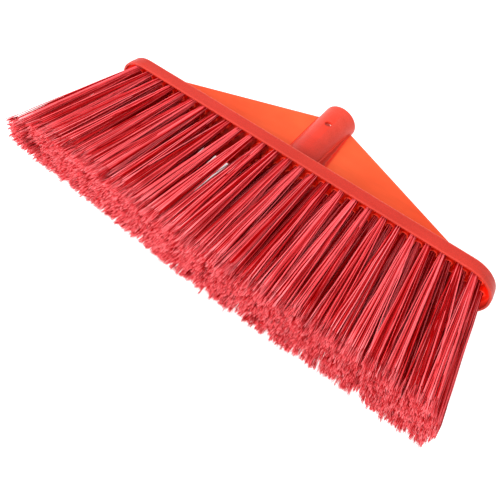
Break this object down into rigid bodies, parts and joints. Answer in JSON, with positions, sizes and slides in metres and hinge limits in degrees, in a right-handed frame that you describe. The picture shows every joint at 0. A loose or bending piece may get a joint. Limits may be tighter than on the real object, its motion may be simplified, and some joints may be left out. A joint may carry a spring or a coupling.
{
  "type": "broom head",
  "caption": "Upright sweeping-broom head: long moulded block with round ends, a socket for a round handle braced by thin webs, and staggered rows of splayed bristle tufts.",
  "frame": {"origin": "middle of the rectangle the head covers when it lies on its back, at floor level", "axes": "+X along the block, +Y from the bristle tips towards the socket's mouth, +Z out of the front of the head, which faces up"},
  "size_m": [0.3784, 0.1868, 0.052],
  "materials": {
    "head_plastic": "orange-red moulded polypropylene, satin gloss",
    "bristle_plastic": "red extruded monofilament with flagged, paler tips"
  },
  "bodies": {
    "root": {"head_block": "head_plastic", "handle_socket": "head_plastic", "web_left": "head_plastic", "web_right": "head_plastic", "bristle_rank_01": "bristle_plastic", "bristle_rank_02": "bristle_plastic", "bristle_rank_03": "bristle_plastic", "bristle_rank_04": "bristle_plastic", "bristle_rank_05": "bristle_plastic", "bristle_rank_06": "bristle_plastic", "bristle_rank_07": "bristle_plastic", "bristle_rank_08": "bristle_plastic", "bristle_rank_09": "bristle_plastic", "bristle_rank_10": "bristle_plastic", "bristle_rank_11": "bristle_plastic", "bristle_rank_12": "bristle_plastic", "bristle_rank_13": "bristle_plastic", "bristle_rank_14": "bristle_plastic", "bristle_rank_15": "bristle_plastic", "bristle_rank_16": "bristle_plastic", "bristle_rank_17": "bristle_plastic", "bristle_rank_18": "bristle_plastic", "bristle_rank_19": "bristle_plastic", "bristle_rank_20": "bristle_plastic", "bristle_rank_21": "bristle_plastic", "bristle_rank_22": "bristle_plastic", "bristle_rank_23": "bristle_plastic", "bristle_rank_24": "bristle_plastic", "bristle_rank_25": "bristle_plastic", "bristle_rank_26": "bristle_plastic", "bristle_rank_27": "bristle_plastic", "bristle_rank_28": "bristle_plastic", "bristle_rank_29": "bristle_plastic", "bristle_rank_30": "bristle_plastic", "bristle_rank_31": "bristle_plastic", "bristle_rank_32": "bristle_plastic", "bristle_rank_33": "bristle_plastic", "bristle_rank_34": "bristle_plastic", "bristle_rank_35": "bristle_plastic", "bristle_rank_36": "bristle_plastic", "bristle_rank_37": "bristle_plastic", "bristle_rank_38": "bristle_plastic", "bristle_rank_39": "bristle_plastic", "bristle_rank_40": "bristle_plastic", "bristle_rank_41": "bristle_plastic", "bristle_rank_42": "bristle_plastic", "bristle_rank_43": "bristle_plastic", "bristle_rank_44": "bristle_plastic", "bristle_rank_45": "bristle_plastic", "bristle_rank_46": "bristle_plastic", "bristle_rank_47": "bristle_plastic", "bristle_rank_48": "bristle_plastic", "bristle_rank_49": "bristle_plastic", "bristle_rank_50": "bristle_plastic", "bristle_rank_51": "bristle_plastic", "bristle_rank_52": "bristle_plastic", "bristle_rank_53": "bristle_plastic", "bristle_rank_54": "bristle_plastic", "bristle_rank_55": "bristle_plastic"}
  },
  "joints": []
}
